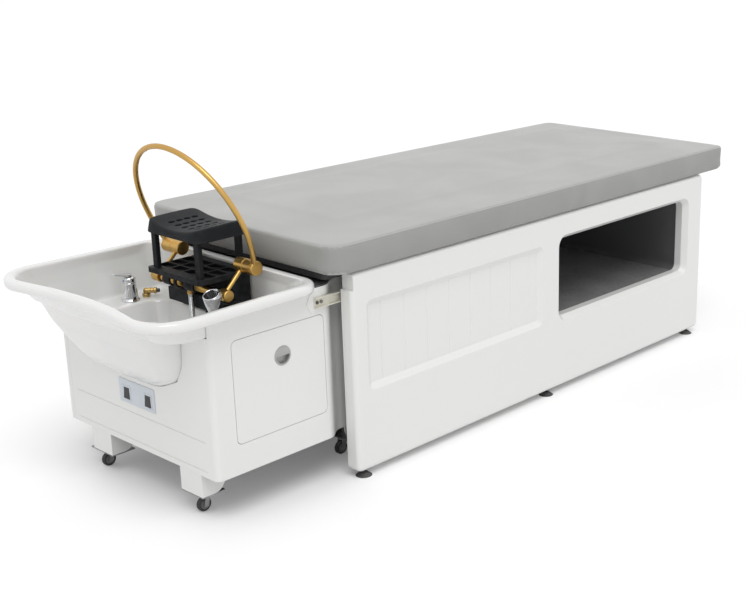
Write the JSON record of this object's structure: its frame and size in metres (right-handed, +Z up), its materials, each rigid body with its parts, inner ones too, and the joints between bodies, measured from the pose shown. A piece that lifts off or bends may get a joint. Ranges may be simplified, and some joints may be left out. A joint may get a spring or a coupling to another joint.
{
  "type": "hair_washing_bed",
  "caption": "Hair washing bed: grey padded bed on white panels with a storage niche, and a white wash unit on casters with a deep basin, black neck rest and gold water halo on swinging arms.",
  "frame": {"origin": "floor level, under the middle of the whole bed", "axes": "X runs from the basin at the head end to the foot; Y runs from the side with the storage niche to the far side; Z is up"},
  "size_m": [2.0439, 0.7, 0.785],
  "materials": {
    "white_panel": "gloss white moulded panel",
    "gold_tube": "brushed gold-coloured tube",
    "basin_white": "glazed gloss white",
    "upholstery": "mid grey synthetic leather with a stitched seam",
    "dark_board": "dark covered board",
    "niche_lining": "matt charcoal lining",
    "niche_mat": "thin dark grey mat",
    "frame_steel": "dark powder coat",
    "bracket_steel": "grey zinc finish",
    "black_rubber": "matt black rubber",
    "hub_grey": "grey moulded hub",
    "black_plastic": "satin black",
    "headrest_black": "matt black moulding",
    "chrome": "polished chrome",
    "brass_fitting": "machined brass",
    "control_plate": "pale blue-grey plate",
    "cream_channel": "cream powder coat",
    "dark_screw": "black oxide",
    "pull_grey": "grey satin pull",
    "hose_grey": "spiral metal hose",
    "pipe_plastic": "grey pipe",
    "tank_plastic": "natural white tank"
  },
  "bodies": {
    "bed": {"near_side_panel": "white_panel", "far_side_panel": "white_panel", "foot_panel": "white_panel", "storage_niche_liner": "niche_lining", "niche_mat": "niche_mat", "frame_side_rails": "frame_steel", "frame_crossbars": "frame_steel", "levelling_feet": "black_rubber", "link_guides": "black_plastic", "mattress_base_board": "dark_board", "mattress": "upholstery"},
    "wash_unit": {"cabinet_front_panel": "white_panel", "cabinet_near_side": "white_panel", "cabinet_far_side": "white_panel", "cabinet_back_panel": "white_panel", "cabinet_base_pan": "frame_steel", "cabinet_top_plate": "frame_steel", "leg_brackets": "white_panel", "caster_plates": "bracket_steel", "basin": "basin_white", "waste_outlet": "chrome", "waste_pipe": "pipe_plastic", "circulation_pump": "black_plastic", "water_tank": "tank_plastic", "control_plate": "control_plate", "link_plates": "white_panel", "link_channels": "cream_channel", "link_screws": "dark_screw", "tap_base": "chrome", "supply_elbow": "brass_fitting", "elbow_tip": "black_plastic", "headrest_base": "headrest_black", "headrest_tray": "headrest_black", "manifold_clamps": "headrest_black", "manifold_bar": "gold_tube", "shower_holder": "headrest_black", "shower_hose": "hose_grey"},
    "strainer": {"drain_strainer": "chrome"},
    "left_switch": {"left_rocker": "black_plastic"},
    "right_switch": {"right_rocker": "black_plastic"},
    "service_door": {"door_panel": "white_panel", "door_pull": "pull_grey"},
    "tap_turret": {"tap_head": "chrome"},
    "tap_handle": {"tap_lever": "chrome"},
    "halo_lower": {"halo_arms": "gold_tube"},
    "halo": {"halo_tube": "gold_tube"},
    "neck_pad": {"neck_rest": "headrest_black"},
    "shower_head": {"hand_shower": "chrome"},
    "near_front_fork": {"near_front_caster_fork": "bracket_steel"},
    "near_front_wheel": {"near_front_caster_tyre": "black_rubber", "near_front_caster_hub": "hub_grey"},
    "far_front_fork": {"far_front_caster_fork": "bracket_steel"},
    "far_front_wheel": {"far_front_caster_tyre": "black_rubber", "far_front_caster_hub": "hub_grey"},
    "near_rear_fork": {"near_rear_caster_fork": "bracket_steel"},
    "near_rear_wheel": {"near_rear_caster_tyre": "black_rubber", "near_rear_caster_hub": "hub_grey"},
    "far_rear_fork": {"far_rear_caster_fork": "bracket_steel"},
    "far_rear_wheel": {"far_rear_caster_tyre": "black_rubber", "far_rear_caster_hub": "hub_grey"}
  },
  "joints": [
    {"name": "wash_unit_roll", "type": "slide", "parent": "bed", "child": "wash_unit", "axis": [-1, 0, 0], "range_m": [0, 0.12]},
    {"name": "service_door_swing", "type": "hinge", "parent": "wash_unit", "child": "service_door", "pos_m": [-0.6805, -0.287, 0.1865], "axis": [1, 0, 0], "range_deg": [0, 85]},
    {"name": "left_switch_rock", "type": "hinge", "parent": "wash_unit", "child": "left_switch", "pos_m": [-0.862, 0.028, 0.234], "axis": [0, 1, 0], "range_deg": [-12, 0]},
    {"name": "right_switch_rock", "type": "hinge", "parent": "wash_unit", "child": "right_switch", "pos_m": [-0.862, -0.053, 0.234], "axis": [0, 1, 0], "range_deg": [-12, 0]},
    {"name": "strainer_lift", "type": "slide", "parent": "wash_unit", "child": "strainer", "axis": [0, 0, 1], "range_m": [0, 0.03]},
    {"name": "tap_turn", "type": "hinge", "parent": "wash_unit", "child": "tap_turret", "pos_m": [-0.719, 0.212, 0.433], "axis": [0, 0, 1], "range_deg": [-45, 45]},
    {"name": "tap_lever_lift", "type": "hinge", "parent": "tap_turret", "child": "tap_handle", "pos_m": [-0.719, 0.212, 0.4353], "axis": [0, 1, 0], "range_deg": [0, 25]},
    {"name": "halo_arms_swing", "type": "hinge", "parent": "wash_unit", "child": "halo_lower", "pos_m": [-0.693, 0, 0.453], "axis": [0, 1, 0], "range_deg": [-30, 8]},
    {"name": "halo_swing", "type": "hinge", "parent": "halo_lower", "child": "halo", "pos_m": [-0.635, 0, 0.51], "axis": [0, 1, 0], "range_deg": [-35, 20]},
    {"name": "neck_rest_lift", "type": "slide", "parent": "wash_unit", "child": "neck_pad", "axis": [0, 0, 1], "range_m": [0, 0.03]},
    {"name": "hand_shower_pull", "type": "slide", "parent": "wash_unit", "child": "shower_head", "axis": [-1, 0, 0], "range_m": [0, 0.05]},
    {"name": "near_front_swivel", "type": "hinge", "parent": "wash_unit", "child": "near_front_fork", "pos_m": [-0.8265, -0.1865, 0.041], "axis": [0, 0, 1], "continuous": true},
    {"name": "near_front_roll", "type": "hinge", "parent": "near_front_fork", "child": "near_front_wheel", "pos_m": [-0.8345, -0.1865, 0.017], "axis": [0, 1, 0], "continuous": true},
    {"name": "far_front_swivel", "type": "hinge", "parent": "wash_unit", "child": "far_front_fork", "pos_m": [-0.8265, 0.1865, 0.041], "axis": [0, 0, 1], "continuous": true},
    {"name": "far_front_roll", "type": "hinge", "parent": "far_front_fork", "child": "far_front_wheel", "pos_m": [-0.8345, 0.1865, 0.017], "axis": [0, 1, 0], "continuous": true},
    {"name": "near_rear_swivel", "type": "hinge", "parent": "wash_unit", "child": "near_rear_fork", "pos_m": [-0.422, -0.1865, 0.041], "axis": [0, 0, 1], "continuous": true},
    {"name": "near_rear_roll", "type": "hinge", "parent": "near_rear_fork", "child": "near_rear_wheel", "pos_m": [-0.43, -0.1865, 0.017], "axis": [0, 1, 0], "continuous": true},
    {"name": "far_rear_swivel", "type": "hinge", "parent": "wash_unit", "child": "far_rear_fork", "pos_m": [-0.422, 0.1865, 0.041], "axis": [0, 0, 1], "continuous": true},
    {"name": "far_rear_roll", "type": "hinge", "parent": "far_rear_fork", "child": "far_rear_wheel", "pos_m": [-0.43, 0.1865, 0.017], "axis": [0, 1, 0], "continuous": true}
  ]
}
